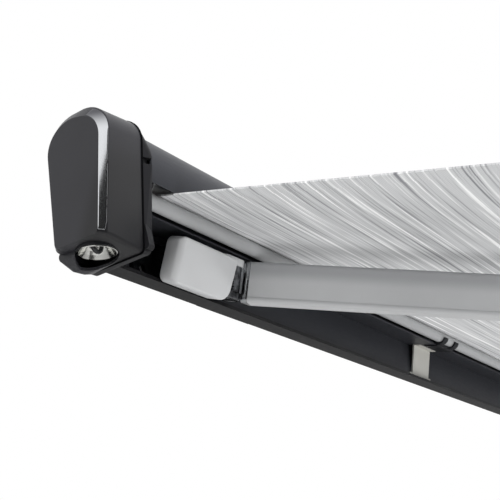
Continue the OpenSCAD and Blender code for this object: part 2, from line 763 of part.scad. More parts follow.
module leg_pivots() color("#8b8d90") rolled_out() for (m = [LEFT, RIGHT]) {
    lane0 = lane_s(m) - leg_t / 2;
    free0 = m == LEFT ? lane0 + leg_t + lane_gap : rail_s + rail_wall;
    rod_s(m * (half_l - leg_inset), rail_s, rail_front, -leg_drop, leg_pivot_r);
    // Spacer in the lane that the leg leaves free
    rod_s(m * (half_l - leg_inset), free0, free0 + leg_t + lane_gap, -leg_drop, leg_pivot_r + 4);
}

module leg_outer(m) color("#a3a5a8") leg_frame(m) difference() {
    union() {
        rotate([90, 0, 0]) cylinder(h = leg_t, r = leg_w / 2 - 0.5, center = true);
        leg_bar(0, 60) leg_shape(0);
        leg_bar(60 - EPS, leg_l - collar_l / 2) difference() {
            leg_shape(0);
            leg_shape(leg_wall);
        }
    }
    rotate([90, 0, 0]) cylinder(h = leg_t + 2, r = leg_pivot_r + pin_play, center = true);
}
module leg_outer_left() leg_outer(LEFT);
module leg_outer_right() leg_outer(RIGHT);

module leg_collar(m) color("#242528") leg_frame(m)
    leg_bar(leg_l - collar_l / 2, leg_l) difference() {
        rounded_rect(leg_t, leg_w + 5, 4.5);
        leg_shape(leg_wall);
    }
module leg_collar_left() leg_collar(LEFT);
module leg_collar_right() leg_collar(RIGHT);

module leg_inner(m) color("#bfc1c3") leg_frame(m)
    leg_bar(64 + leg_fit, leg_l + 4) difference() {
        leg_shape(leg_wall + leg_fit);
        leg_shape(2 * leg_wall + leg_fit);
    }
module leg_inner_left() leg_inner(LEFT);
module leg_inner_right() leg_inner(RIGHT);

module leg_foot(m) color("#242528") leg_frame(m) {
    leg_bar(leg_l + 4, leg_l + foot_l - 4) rounded_rect(leg_t, leg_w + 2, 4.5);
    leg_bar(leg_l + foot_l - 4, leg_l + foot_l) rounded_rect(leg_t, leg_w + 10, 4.5);
    leg_bar(leg_l - 30, leg_l + 4 + EPS) leg_shape(2 * leg_wall + leg_fit + 0.05);
}
module leg_foot_left() leg_foot(LEFT);
module leg_foot_right() leg_foot(RIGHT);

// Canopy: from under the roller, over the guide bar, down the slope to the lead rail

canopy_end = keder_s + keder_r + rest_out * cos(pitch);

module canopy() color("#b9babb") {
    under_roll = roller_c - [0, roll_r + soft_gap + canopy_t / 2];
    over_bar = bar_c + fabric_r * [sin(-2), cos(-2)];
    up = [0, canopy_t / 2];
    slant = canopy_t / 2 * [sin(pitch), cos(pitch)];
    path_end = [canopy_end, fabric_z(canopy_end)];
    along_x(-half_l + canopy_inset, half_l - canopy_inset) polygon([
        under_roll - up, over_bar - up, fabric_turn - slant, path_end - slant,
        path_end + slant, fabric_turn + slant, over_bar + up, under_roll + up,
    ]);
}

housing();
guide_bar();
wall_brackets();
end_plate_left();
end_plate_right();
end_cap_left();
end_cap_right();
trim_strip_left();
trim_strip_right();
gearbox();
winding_funnel();
winding_eye();
roller_bushes();
shoulder_bracket_left();
shoulder_bracket_right();
shoulder_cover_left();
shoulder_cover_right();
shoulder_pins();
shoulder_bolts();
bar_brackets();
bar_forks();
roller_tube();
roller_plugs();
fabric_roll();
upper_arm_left();
upper_arm_right();
shoulder_knuckle_left();
shoulder_knuckle_right();
elbow_fork_left();
elbow_fork_right();
elbow_pin_left();
elbow_pin_right();
arm_spring_left();
arm_spring_right();
forearm_left();
forearm_right();
elbow_knuckle_left();
elbow_knuckle_right();
wrist_knuckle_left();
wrist_knuckle_right();
lead_rail();
rail_end_caps();
wrist_brackets();
wrist_pins();
keder_rod();
leg_pivots();
leg_outer_left();
leg_outer_right();
leg_collar_left();
leg_collar_right();
leg_inner_left();
leg_inner_right();
leg_foot_left();
leg_foot_right();
canopy();
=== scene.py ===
"""Looks of a roll out awning: a cassette with two folding arms, its cloth, lead rail and legs."""

import logging
import math
from dataclasses import dataclass, field
from enum import Enum
from typing import Callable, Sequence

import bmesh
import bpy
from bpy.types import Material, Node, NodeSocket, NodeTree, Object
from mathutils import Matrix, Vector


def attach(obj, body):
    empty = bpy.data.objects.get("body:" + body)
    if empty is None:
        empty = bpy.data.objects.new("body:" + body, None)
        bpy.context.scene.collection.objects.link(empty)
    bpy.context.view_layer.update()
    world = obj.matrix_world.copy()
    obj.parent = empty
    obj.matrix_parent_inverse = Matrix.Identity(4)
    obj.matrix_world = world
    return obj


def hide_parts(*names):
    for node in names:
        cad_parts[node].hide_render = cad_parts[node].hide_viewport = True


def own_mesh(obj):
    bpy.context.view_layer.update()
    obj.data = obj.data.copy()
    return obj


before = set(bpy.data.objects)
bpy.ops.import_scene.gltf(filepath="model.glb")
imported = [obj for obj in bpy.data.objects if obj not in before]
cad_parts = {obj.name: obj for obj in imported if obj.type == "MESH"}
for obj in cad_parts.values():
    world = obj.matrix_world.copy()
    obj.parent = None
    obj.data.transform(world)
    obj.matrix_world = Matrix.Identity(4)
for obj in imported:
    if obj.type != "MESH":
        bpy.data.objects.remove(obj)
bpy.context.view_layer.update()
LOG = logging.getLogger("awning")

Pair = tuple[float, float]
Triple = tuple[float, float, float]

MM = 0.001
# The back of the cassette's section stands this far off the wall, and its top this far above
# the frame's origin, in mm.
WALL_GAP = 8.0
TOP_Z = 62.0
# Slope of the cloth and of the plane that the arms lie in.
PITCH = math.radians(12.5)
# Place of the shoulder pins in the section: depth and height, in mm.
PIN = (35.0, -104.0)
# Directions outward in the arms' plane and square to it.
ARM_OUT = (0.0, -math.cos(PITCH), -math.sin(PITCH))
ARM_UP = (0.0, -math.sin(PITCH), math.cos(PITCH))


class Body(Enum):
    """Bodies of the mechanism that the pieces of this script ride on."""

    CASSETTE = "cassette"
    ROLLER = "roller"
    ARM_LEFT = "arm_inner_left"
    ARM_RIGHT = "arm_inner_right"


def at(x: float, s: float, z: float) -> Vector:
    """Point of the cassette's section, in mm: s outward from its back, z up from its top."""
    return Vector((x * MM, -(WALL_GAP + s) * MM, (TOP_Z + z) * MM))


def at_pins(x: float, h: float = 0.0) -> Vector:
    """Point in mm: x along the line of the shoulder pins, h square to the arms' plane."""
    return at(0, *PIN) + Vector((x, 0, 0)) * MM + Vector(ARM_UP) * h * MM


def linear(hex_colour: str) -> tuple[float, float, float, float]:
    """Turns an sRGB hex value into linear colour.

    Args:
        hex_colour: Six hex digits after a hash.

    Returns:
        Linear red, green, blue and alpha.
    """
    parts = [int(hex_colour[i:i + 2], 16) / 255 for i in (1, 3, 5)]
    flat = [c / 12.92 if c <= 0.04045 else ((c + 0.055) / 1.055) ** 2.4 for c in parts]
    return (flat[0], flat[1], flat[2], 1.0)


def add_node(tree: NodeTree, kind: str, settings: dict | None = None,
             links: dict | None = None) -> Node:
    """Adds a shader node with its settings and links.

    Args:
        tree: Node tree of the material or world.
        kind: Blender's type name of the node.
        settings: Attribute names, or input names and numbers, with their values.
        links: Input name or number to the output socket that feeds it.

    Returns:
        The new node.
    """
    node = tree.nodes.new(kind)
    for key, value in (settings or {}).items():
        if isinstance(key, str) and hasattr(node, key):
            setattr(node, key, value)
        else:
            node.inputs[key].default_value = value
    for key, socket in (links or {}).items():
        tree.links.new(socket, node.inputs[key])
    return node


def blank_material(name: str) -> tuple[Material, NodeTree]:
    """Makes a node material with nothing in it, and returns it with its tree."""
    material = bpy.data.materials.new(name)
    material.use_nodes = True
    material.node_tree.nodes.clear()
    return material, material.node_tree


def blend(tree: NodeTree, share: NodeSocket, first: str | NodeSocket, second: str) -> NodeSocket:
    """Mixes a colour, or what another node gives, with a second colour by a share."""
    settings, links = {"data_type": "RGBA", 7: linear(second)}, {0: share}
    if isinstance(first, str):
        settings[6] = linear(first)
    else:
        links[6] = first
    return add_node(tree, "ShaderNodeMix", settings, links).outputs[2]


def surface(tree: NodeTree, settings: dict, links: dict) -> None:
    """Ends a material's tree with its shader and the output."""
    shader = add_node(tree, "ShaderNodeBsdfPrincipled", settings, links)
    add_node(tree, "ShaderNodeOutputMaterial", {}, {"Surface": shader.outputs[0]})


# Range of a noise texture that holds most of its values, for tones that reach both ends.
NOISE_RANGE = (0.3, 0.7)
GRAIN_STRENGTH = 0.35
COAT_ROUGHNESS = 0.12


@dataclass(frozen=True)
class Finish:
    """Surface of a hard piece: two close colours, a grain and a gloss that varies a little.

    Attributes:
        name: What the finish is.
        colour: Main sRGB colour.
        shade: Colour of the slow patches.
        roughness: Mean roughness.
        metallic: One for bare metal.
        coat: Clear coat weight.
        grain_mm: Size of the grain.
        grain_depth: Height of the grain's bump, in mm.
        stretch: How much longer the grain is along X, Y and Z.
        patch_mm: Size of the slow patches.
        spread: How far the roughness wanders.
        specular: Strength of the sheen of paint, plastic or rubber; half is the usual one.
    """

    name: str
    colour: str
    shade: str
    roughness: float
    metallic: float = 0.0
    coat: float = 0.0
    grain_mm: float = 1.6
    grain_depth: float = 0.02
    stretch: Triple = (1.0, 1.0, 1.0)
    patch_mm: float = 140.0
    spread: float = 0.08
    specular: float = 0.5

    def make(self) -> Material:
        """Builds the node material."""
        material, tree = blank_material(self.name)
        place = add_node(tree, "ShaderNodeTexCoord").outputs["Object"]
        drawn = add_node(tree, "ShaderNodeMapping",
                         {"Scale": tuple(1 / s for s in self.stretch)}, {"Vector": place})
        grain, patch = (
            add_node(tree, "ShaderNodeTexNoise",
                     {"Scale": 1000 / size, "Detail": detail, "Roughness": rough},
                     {"Vector": drawn.outputs[0]}).outputs["Fac"]
            for size, detail, rough in ((self.grain_mm, 3.0, 0.6), (self.patch_mm, 4.0, 0.55)))
        low, high = NOISE_RANGE
        share = add_node(tree, "ShaderNodeMapRange", {"From Min": low, "From Max": high},
                         {"Value": patch})
        tint = blend(tree, share.outputs[0], self.colour, self.shade)
        gloss = add_node(tree, "ShaderNodeMapRange",
                         {"To Min": max(self.roughness - self.spread, 0.02),
                          "To Max": self.roughness + self.spread},
                         {"Value": grain})
        bump = add_node(tree, "ShaderNodeBump",
                        {"Strength": GRAIN_STRENGTH, "Distance": self.grain_depth * MM},
                        {"Height": grain})
        surface(tree, {"Metallic": self.metallic, "Coat Weight": self.coat,
                       "Coat Roughness": COAT_ROUGHNESS, "Specular IOR Level": self.specular},
                {"Base Color": tint, "Roughness": gloss.outputs[0], "Normal": bump.outputs[0]})
        return material


@dataclass(frozen=True)
class PaintedShadeFinish(Finish):
    """Finish that turns to another tone past a plane: painted shade where what is round it shades
    it.

    Attributes:
        band: Colour past the plane, the painted shade.
        normal: Unit direction square to the plane.
        level_mm: The plane's distance from the origin along that direction.
        fade_mm: Width over which the tone changes.
    """

    band: str = "#87888a"
    normal: Triple = (0.0, 0.0, 1.0)
    level_mm: float = 0.0
    fade_mm: float = 16.0

    def make(self) -> Material:
        """Builds the finish and lays the painted shade band over its colour."""
        material = super().make()
        tree = material.node_tree
        shader = next(n for n in tree.nodes if n.type == "BSDF_PRINCIPLED")
        base = shader.inputs["Base Color"].links[0].from_socket
        place = next(n for n in tree.nodes if n.type == "TEX_COORD").outputs["Object"]
        level = add_node(tree, "ShaderNodeVectorMath",
                         {"operation": "DOT_PRODUCT", 1: self.normal}, {0: place})
        share = add_node(tree, "ShaderNodeMapRange",
                         {"interpolation_type": "SMOOTHSTEP",
                          "From Min": (self.level_mm - self.fade_mm / 2) * MM,
                          "From Max": (self.level_mm + self.fade_mm / 2) * MM},
                         {"Value": level.outputs["Value"]})
        tree.links.new(blend(tree, share.outputs[0], base, self.band),
                       shader.inputs["Base Color"])
        return material


@dataclass(frozen=True)
class AwningCloth:
    """Woven acrylic cloth with fine streaks along the cassette, read from the piece's UV map.

    Attributes:
        name: What the finish is.
        dark: Colour of the dark streaks.
        middle: Colour between them.
        light: Colour of the light streaks.
        streak_mm: Widths of the coarse, middle and fine streaks.
        share: How much each width counts. The three make one.
        stretch: How many times longer than wide a streak is.
        dark_range: Values over which dark turns to middle.
        light_range: Values over which middle turns to light.
        thread_mm: Pitch of the weave. The real one is under half a millimetre; it is drawn
            coarser so that it shows.
        thread_share: How much the weave tints the cloth.
        bend_mm: How far the streaks drift outward at the hems.
        bend_zone: Width beside a hem in which they drift, in metres.
    """

    name: str = "woven_acrylic_cloth"
    dark: str = "#7e7f83"
    middle: str = "#c4c5c6"
    light: str = "#f6f6f6"
    streak_mm: Triple = (13.0, 5.0, 2.3)
    share: Triple = (0.26, 0.40, 0.34)
    stretch: float = 16.0
    dark_range: Pair = (0.37, 0.47)
    light_range: Pair = (0.53, 0.63)
    thread_mm: float = 3.0
    thread_share: float = 0.008
    bend_mm: float = 9.0
    bend_zone: float = 0.18

    def make(self) -> Material:
        """Builds the node material. U is metres from the left hem and V metres down the cloth."""
        material, tree = blank_material(self.name)
        uv = add_node(tree, "ShaderNodeSeparateXYZ", {},
                      {0: add_node(tree, "ShaderNodeTexCoord").outputs["UV"]})
        along, down = uv.outputs[0], uv.outputs[1]

        def sums(kind: str, *inputs: object) -> NodeSocket:
            """Adds a Math node on sockets and numbers and returns its output."""
            fixed = {i: v for i, v in enumerate(inputs) if isinstance(v, (int, float))}
            wired = {i: v for i, v in enumerate(inputs) if not isinstance(v, (int, float))}
            return add_node(tree, "ShaderNodeMath", {"operation": kind} | fixed, wired).outputs[0]

        centre = sums("SUBTRACT", along, Canopy.WIDTH / 2)
        edge = sums("SUBTRACT", sums("ABSOLUTE", centre), Canopy.WIDTH / 2 - self.bend_zone)
        drift = sums("POWER", sums("MAXIMUM", edge, 0.0), 3.0)
        bent = sums("SUBTRACT", down,
                    sums("MULTIPLY", drift, self.bend_mm * MM / self.bend_zone ** 3))
        mixed = 0.0
        for width, share in zip(self.streak_mm, self.share):
            spot = add_node(tree, "ShaderNodeCombineXYZ", {2: width},
                            {0: sums("MULTIPLY", along, self.stretch / width),
                             1: sums("MULTIPLY", bent, 1000 / width)})
            noise = add_node(tree, "ShaderNodeTexNoise",
                             {"Scale": 1.0, "Detail": 1.0, "Roughness": 0.5},
                             {"Vector": spot.outputs[0]}).outputs["Fac"]
            mixed = sums("ADD", mixed, sums("MULTIPLY", noise, share))
        turns = 2 * math.pi / (self.thread_mm * MM)
        weave = sums("MULTIPLY", sums("SINE", sums("MULTIPLY", along, turns)),
                     sums("SINE", sums("MULTIPLY", down, turns)))
        value = sums("ADD", mixed, sums("MULTIPLY", weave, self.thread_share))
        low, high = (add_node(tree, "ShaderNodeMapRange", {"From Min": start, "From Max": end},
                              {"Value": value}).outputs[0]
                     for start, end in (self.dark_range, self.light_range))
        tint = blend(tree, high, blend(tree, low, self.dark, self.middle), self.light)
        height = sums("ADD", sums("MULTIPLY", weave, 0.5), mixed)
        bump = add_node(tree, "ShaderNodeBump", {"Strength": 0.4, "Distance": 0.0004},
                        {"Height": height})
        surface(tree, {"Roughness": 0.85, "Sheen Weight": 0.15, "Sheen Roughness": 0.4},
                {"Base Color": tint, "Normal": bump.outputs[0]})
        return material


# Powder coat: a satin skin with a fine orange peel, so highlights are soft and slightly broken.
ANTHRACITE_PAINT = Finish("anthracite_powder_coat", "#27282b", "#222326", 0.42, specular=0.36,
                          grain_mm=2.2, grain_depth=0.02, stretch=(6, 1, 1))
# The housing's under edge faces away from the sky; painted shade tints it nearly black there.
HOUSING_PAINT_SHADED = PaintedShadeFinish("housing_powder_coat_painted_shade", "#303135", "#2b2c30", 0.42, specular=0.2,
                             grain_mm=2.2, grain_depth=0.02, stretch=(6, 1, 1), band="#070709",
                             normal=(0.0, 0.0, -1.0), level_mm=62.0, fade_mm=8.0)
# Moulded ABS: even colour, fine spark-eroded grain, a broad dull sheen, painted shade low in
# front.
ANTHRACITE_CAP_SHADED = PaintedShadeFinish("moulded_abs_anthracite", "#252529", "#1f1f23", 0.4, specular=0.4,
                              grain_mm=1.4, grain_depth=0.03, band="#111113",
                              normal=(0.0, -0.944, -0.33), level_mm=75.0, fade_mm=19.0)
# Die-cast plates: flat, nearly black paint that takes almost no light.
ANTHRACITE_PLATE = Finish("die_cast_plate_paint", "#161618", "#121215", 0.5, specular=0.35,
                          grain_mm=1.8)
# The joint between cap and plate is a shadow, painted as a black band with hardly any sheen.
SEAM_PAINTED_SHADOW = Finish("seam_painted_shadow", "#040405", "#070708", 0.9, specular=0.05)
# Bright trim: chromed plastic, a clear mirror with hardly any haze, with a painted dark
# reflection over the top.
CHROME_TRIM_PAINTED_REFLECTION = PaintedShadeFinish("chromed_plastic", "#e9ebee", "#dddfe2", 0.1, 1.0, grain_mm=3.0,
                           grain_depth=0.002, spread=0.03, band="#5c5c61", level_mm=49.0,
                           fade_mm=26.0)
# The funnel's chrome is worn by the crank: still bright, with a thin haze.
FUNNEL_CHROME = Finish("chromed_funnel", "#e4e4e0", "#d8d8d4", 0.16, 1.0, grain_mm=3.0,
                       grain_depth=0.004, spread=0.04)
# Drawn aluminium: die lines along the profile stretch its highlights across them.
BARE_ALUMINIUM = Finish("drawn_aluminium", "#c2c4c6", "#b6b8ba", 0.34, 0.85, grain_mm=0.9,
                        grain_depth=0.01, stretch=(60, 1, 1))
# Grey paint on the guide bar, polished lengthwise where the cloth runs over it.
BAR_PAINT = Finish("guide_bar_paint", "#9c9d9e", "#949596", 0.4, grain_mm=2.0,
                   grain_depth=0.01, stretch=(20, 1, 1))
# Silver grey enamel on the arms: near matt, so the flat sides stay even. From 8 mm above their
# middle the tint turns darker: painted shade from the cloth.
ARM_PAINT_SHADED = PaintedShadeFinish("arm_enamel", "#b8b9ba", "#b1b2b3", 0.42, coat=0.05, grain_mm=1.6,
                         grain_depth=0.012, band="#9a9b9d", normal=ARM_UP, fade_mm=16.0,
                         level_mm=at_pins(0).dot(Vector(ARM_UP)) / MM + 8)
# Satin end plates of the arms: bare metal with a broad, slightly wavy reflection.
END_PLATE = Finish("satin_zinc_plate", "#a9abad", "#8f9193", 0.14, 1.0, grain_mm=8.0,
                   grain_depth=0.6, spread=0.05)
# Gloss black castings: deep colour with sharp highlights.
CASTING_PAINT = Finish("gloss_casting_paint", "#070809", "#0c0d0e", 0.2, grain_mm=6.0,
                       grain_depth=0.06)
# Polished castings at the shoulder: a wavy mirror, tinted in small patches from bright to near
# black: painted glints and painted dark reflections.
POLISHED_CASTING_PAINTED_GLINTS = Finish("polished_casting_painted_glints", "#9a9c9f", "#0e0f11", 0.09, 1.0, grain_mm=9.0,
                          grain_depth=1.4, patch_mm=13.0, spread=0.04)
# Hoods, clips and bushes of moulded plastic: pale and even, with a dull, waxy sheen.
COVER_PLASTIC = Finish("light_grey_abs", "#bebfc0", "#b7b8b9", 0.5, grain_mm=1.2,
                       grain_depth=0.015, specular=0.35)
CLIP_PLASTIC = Finish("grey_clip_plastic", "#b2b1ab", "#a8a7a1", 0.5, grain_mm=1.2)
BUSH_PLASTIC = Finish("acetal_bush", "#dedcd4", "#d2d0c8", 0.4, grain_mm=1.5)
# Glass filled nylon: black, with fibres that roughen its skin to a dry grey sheen.
BLACK_PLASTIC = Finish("glass_filled_nylon", "#141518", "#1a1b1f", 0.55, grain_mm=1.0,
                       grain_depth=0.03, specular=0.3)
# Ground pins give small sharp glints; the oiled black of eye and springs gives hardly any.
PIN_STEEL = Finish("polished_pin_steel", "#d4d6d8", "#c5c7c9", 0.14, 1.0, grain_mm=0.8,
                   grain_depth=0.003, spread=0.05)
DARK_STEEL = Finish("blackened_steel", "#242527", "#1b1c1e", 0.4, 0.3, grain_mm=1.2)
# Anodised legs: fine die lines under a hard, even skin.
LEG_ALUMINIUM = Finish("anodised_leg_tube", "#b9bbbd", "#aeb0b2", 0.36, 0.8, grain_mm=0.8,
                       grain_depth=0.008, stretch=(60, 1, 1))
CLOTH = AwningCloth()


def both(*stems: str) -> tuple[str, ...]:
    """Names of the left and the right piece of each stem."""
    return tuple(f"{stem}_{side}" for stem in stems for side in ("left", "right"))


NODE_FINISH: dict[Finish, tuple[str, ...]] = {
    ANTHRACITE_PAINT: ("lead_rail",),
    HOUSING_PAINT_SHADED: ("housing",),
    ANTHRACITE_CAP_SHADED: both("end_cap"),
    ANTHRACITE_PLATE: (*both("end_plate"), "wall_brackets"),
    CHROME_TRIM_PAINTED_REFLECTION: both("trim_strip"),
    FUNNEL_CHROME: ("winding_funnel",),
    BARE_ALUMINIUM: ("roller_tube",),
    BAR_PAINT: ("guide_bar",),
    ARM_PAINT_SHADED: both("upper_arm", "forearm"),
    CASTING_PAINT: (*both("shoulder_bracket", "elbow_fork", "elbow_knuckle", "wrist_knuckle"),
                    "wrist_brackets"),
    POLISHED_CASTING_PAINTED_GLINTS: both("shoulder_knuckle"),
    COVER_PLASTIC: both("shoulder_cover"),
    CLIP_PLASTIC: ("bar_brackets",),
    BLACK_PLASTIC: ("bar_forks", "gearbox", "roller_plugs", "rail_end_caps",
                    *both("leg_collar", "leg_foot")),
    BUSH_PLASTIC: ("roller_bushes", "keder_rod"),
    PIN_STEEL: ("shoulder_pins", "shoulder_bolts", *both("elbow_pin"), "wrist_pins",
                "leg_pivots"),
    DARK_STEEL: ("winding_eye", *both("arm_spring")),
    LEG_ALUMINIUM: both("leg_outer", "leg_inner"),
}


class Paint:
    """Makes each finish once and hands out its material."""

    def __init__(self) -> None:
        """Starts with no materials made."""
        self.made: dict[object, Material] = {}

    def of(self, finish: Finish | AwningCloth) -> Material:
        """Returns the finish's material, made the first time it is asked for."""
        if finish not in self.made:
            self.made[finish] = finish.make()
        return self.made[finish]

    def coat(self, obj: Object, finish: Finish | AwningCloth) -> None:
        """Gives the whole object one finish."""
        slots = obj.material_slots
        if not slots:
            obj.data.materials.append(self.of(finish))
        for slot in slots:
            slot.material = self.of(finish)


def only(obj: Object) -> None:
    """Makes the object the active one and the only one selected, in object mode."""
    if bpy.context.object and bpy.context.object.mode != "OBJECT":
        bpy.ops.object.mode_set(mode="OBJECT")
    bpy.ops.object.select_all(action="DESELECT")
    obj.select_set(True)
    bpy.context.view_layer.objects.active = obj


def edit(obj: Object, choose: Callable[[Vector, Vector], bool] | None = None,
         edges: bool = False) -> None:
    """Enters edit mode with chosen faces or edges selected.

    Args:
        obj: Mesh to edit.
        choose: Takes a face's centre and normal, or the places of an edge's two ends, and says
            if it is selected. None selects all.
        edges: Chooses edges, not faces.
    """
    only(obj)
    bpy.ops.object.mode_set(mode="EDIT")
    bpy.ops.mesh.select_mode(type="EDGE" if edges else "FACE")
    bpy.ops.mesh.select_all(action="SELECT" if choose is None else "DESELECT")
    if choose is None:
        return
    mesh = bmesh.from_edit_mesh(obj.data)
    for part in mesh.edges if edges else mesh.faces:
        seen = (v.co for v in part.verts) if edges else (part.calc_center_median(), part.normal)
        part.select_set(choose(*seen))
    bmesh.update_edit_mesh(obj.data)


def leave() -> None:
    """Goes back to object mode."""
    bpy.ops.object.mode_set(mode="OBJECT")


def modifier(obj: Object, kind: str, **settings: object) -> None:
    """Adds a modifier with its settings and applies it."""
    only(obj)
    added = obj.modifiers.new(kind.lower(), kind)
    for key, value in settings.items():
        setattr(added, key, value)
    bpy.ops.object.modifier_apply(modifier=added.name)


def bevel(obj: Object, width: float, segments: int, angle: float) -> None:
    """Rounds the edges sharper than an angle in degrees, by a width in mm."""
    modifier(obj, "BEVEL", width=width * MM, segments=segments, limit_method="ANGLE",
             angle_limit=math.radians(angle))


def settle(obj: Object, name: str, smooth: float = 35.0) -> Object:
    """Names a finished piece, puts its place into its mesh and shades it.

    Args:
        obj: The piece.
        name: Its name.
        smooth: Edges flatter than this many degrees are shaded smooth.

    Returns:
        The piece.
    """
    only(obj)
    bpy.ops.object.transform_apply()
    bpy.ops.object.shade_smooth_by_angle(angle=math.radians(smooth))
    obj.name = name
    obj.data.name = name
    return obj


def own_copy(obj: Object) -> Object:
    """Copies an object, with a mesh of its own."""
    copy = obj.copy()
    copy.data = obj.data.copy()
    bpy.context.collection.objects.link(copy)
    return copy


def twin(obj: Object) -> Object:
    """Copies a finished left piece to the right end of the cassette, mirrored."""
    copy = own_copy(obj)
    copy.data.transform(Matrix.Scale(-1, 4, (1, 0, 0)))
    edit(copy)
    bpy.ops.mesh.flip_normals()
    leave()
    return settle(copy, obj.name.replace("left", "right"))


def block(centre: Vector, size: Sequence[float]) -> Object:
    """Adds a box by its centre in metres and its size in mm."""
    bpy.ops.mesh.primitive_cube_add(size=1, location=centre)
    obj = bpy.context.object
    obj.scale = [edge * MM for edge in size]
    bpy.ops.object.transform_apply()
    return obj


@dataclass
class Assembly:
    """Sub-assembly of the awning, with the pieces that it has built."""

    pieces: list[Object] = field(default_factory=list, kw_only=True)


@dataclass
class Canopy(Assembly):
    """The cloth: one sheet down the slope, its hems, the run off the roller and the turns on it.

    Attributes:
        start: Section point where the cloth leaves the guide bar, in mm.
        reach: Section depth of its front edge, rolled out, in mm.
        sag: How far the middle hangs below the straight line, in mm.
        thickness: Thickness of the cloth, in mm.
        hem_w: Width of the side hems, in mm.
        rolled: Section depth of its front edge when closed, in mm. Not used.
        run: Section points of the cloth from the roller to the guide bar, in mm.
        axle: Section point of the roller's axis, in mm.
        core: Radius of the innermost turn, in mm.
        build_up: How much the turns left on the roller add to it, in mm.
        turns: Number of turns left on the roller.
        spiral_length: Length of the cloth in them, in metres, once it is built.
    """

    WIDTH = 3.016
    # Cells of the sheet across and down the slope; cells of a hem across.
    CELLS = (64, 72)
    HEM_CELLS = 2
    RUN_CELLS = 24
    STEPS_PER_TURN = 48
    # How full the belly is, and how far from a hem the cloth is still held up by it, in metres.
    FULLNESS = 0.8
    HELD = 0.16
    SMOOTH = 60
    start: Pair = (59.01, -57.72)
    reach: float = 2467.6
    sag: float = 4.0
    thickness: float = 0.6
    hem_w: float = 22.0
    rolled: float = 80.3
    run: tuple[Pair, ...] = ((36.0, -56.7), (42.0, -56.75), (49.0, -57.0), (55.0, -57.45),
                             (59.01, -57.72))
    axle: Pair = (36.0, -34.0)
    core: float = 20.4
    build_up: float = 1.65
    turns: int = 2
    spiral_length: float = 0.0

    def line(self, s: float) -> float:
        """Height of the taut cloth at section depth s."""
        return self.start[1] - (s - self.start[0]) * math.tan(PITCH)

    def drop(self, x: float, s: float) -> float:
        """How far the cloth hangs below the taut line at a point.

        Args:
            x: Place along the cassette, in metres.
            s: Section depth, in mm.

        Returns:
            The drop, in mm.
        """
        span = (s - self.start[0]) / (self.reach - self.start[0])
        belly = math.sin(math.pi * min(max(span, 0), 1)) ** self.FULLNESS
        inward = max(self.WIDTH / 2 - abs(x), 0.0)
        return self.sag * belly * (1 - math.exp(-inward / self.HELD))

    def cloth(self, obj: Object, name: str, down: Callable[[int], float]) -> Object:
        """Makes a surface a piece of cloth.

        Args:
            obj: The surface.
            name: Name of the piece.
            down: Gives a corner's distance from the guide bar along the cloth, in metres.

        Returns:
            The piece, with its UV map in metres from the left hem and from the bar.
        """
        uv = obj.data.uv_layers.active or obj.data.uv_layers.new(name="cloth")
        for loop in obj.data.loops:
            i = loop.vertex_index
            uv.data[loop.index].uv = (obj.data.vertices[i].co.x + self.WIDTH / 2, down(i))
        modifier(obj, "SOLIDIFY", thickness=self.thickness * MM, offset=0.0)
        return settle(obj, name, self.SMOOTH)

    def strip(self, name: str, x0: float, x1: float, columns: int, rows: int,
              lift: float = 0.0) -> Object:
        """Lays a grid of cloth between two places along the cassette.

        Args:
            name: Name of the piece.
            x0: Left edge, in metres.
            x1: Right edge, in metres.
            columns: Grid cells across.
            rows: Grid cells down the slope.
            lift: Height above the sheet, in mm.

        Returns:
            The piece.
        """
        bpy.ops.mesh.primitive_grid_add(x_subdivisions=columns, y_subdivisions=rows, size=1)
        obj = bpy.context.object
        for vertex in obj.data.vertices:
            x = x0 + (x1 - x0) * (vertex.co.x + 0.5)
            s = self.reach + (self.start[0] - self.reach) * (vertex.co.y + 0.5)
            vertex.co = at(x * 1000, s, self.line(s) - self.drop(x, s) + lift)
        places, slope = obj.data.vertices, MM / math.cos(PITCH)
        return self.cloth(obj, name, lambda i: (
            -places[i].co.y / MM - WALL_GAP - self.start[0]) * slope)

    def tube_run(self, name: str, path: Sequence[Pair]) -> Object:
        """Draws a section path along the whole width of the cloth.

        Args:
            name: Name of the piece.
            path: Section points, in mm.

        Returns:
            The piece.
        """
        bpy.ops.mesh.primitive_grid_add(x_subdivisions=self.RUN_CELLS,
                                        y_subdivisions=len(path) - 1, size=1)
        obj = bpy.context.object
        length = [0.0]
        for a, b in zip(path, path[1:]):
            length.append(length[-1] + math.dist(a, b) * MM)
        steps = []
        for vertex in obj.data.vertices:
            step = round((vertex.co.y + 0.5) * (len(path) - 1))
            steps.append(step)
            vertex.co = at(vertex.co.x * self.WIDTH * 1000, *path[step])
        return self.cloth(obj, name, lambda i: -length[steps[i]])

    def build(self) -> None:
        """Builds the sheet, the hems, the run to the roller and the turns on it."""
        half, columns, rows = self.WIDTH / 2, *self.CELLS
        sheet = self.strip("canopy_sheet", -half, half, columns, rows)
        hems = []
        for name, x0, x1 in (("canopy_hem_left", -half, -half + self.hem_w * MM),
                             ("canopy_hem_right", half - self.hem_w * MM, half)):
            for level, lift in (("under", -1.0), ("over", 1.0)):
                hems.append(self.strip(f"{name}_{level}", x0, x1, self.HEM_CELLS, rows,
                                       lift * self.thickness))
        run = self.tube_run("canopy_run", self.run)
        spiral = []
        steps = self.turns * self.STEPS_PER_TURN
        for i in range(steps + 1):
            angle = math.radians(-90) + 2 * math.pi * i / self.STEPS_PER_TURN
            radius = self.core + self.build_up * i / steps
            spiral.append((self.axle[0] + radius * math.cos(angle),
                           self.axle[1] + radius * math.sin(angle)))
        roll = self.tube_run("canopy_roll", spiral)
        self.pieces = [sheet, *hems, run, roll]
        self.spiral_length = sum(math.dist(a, b) for a, b in zip(spiral, spiral[1:])) * MM

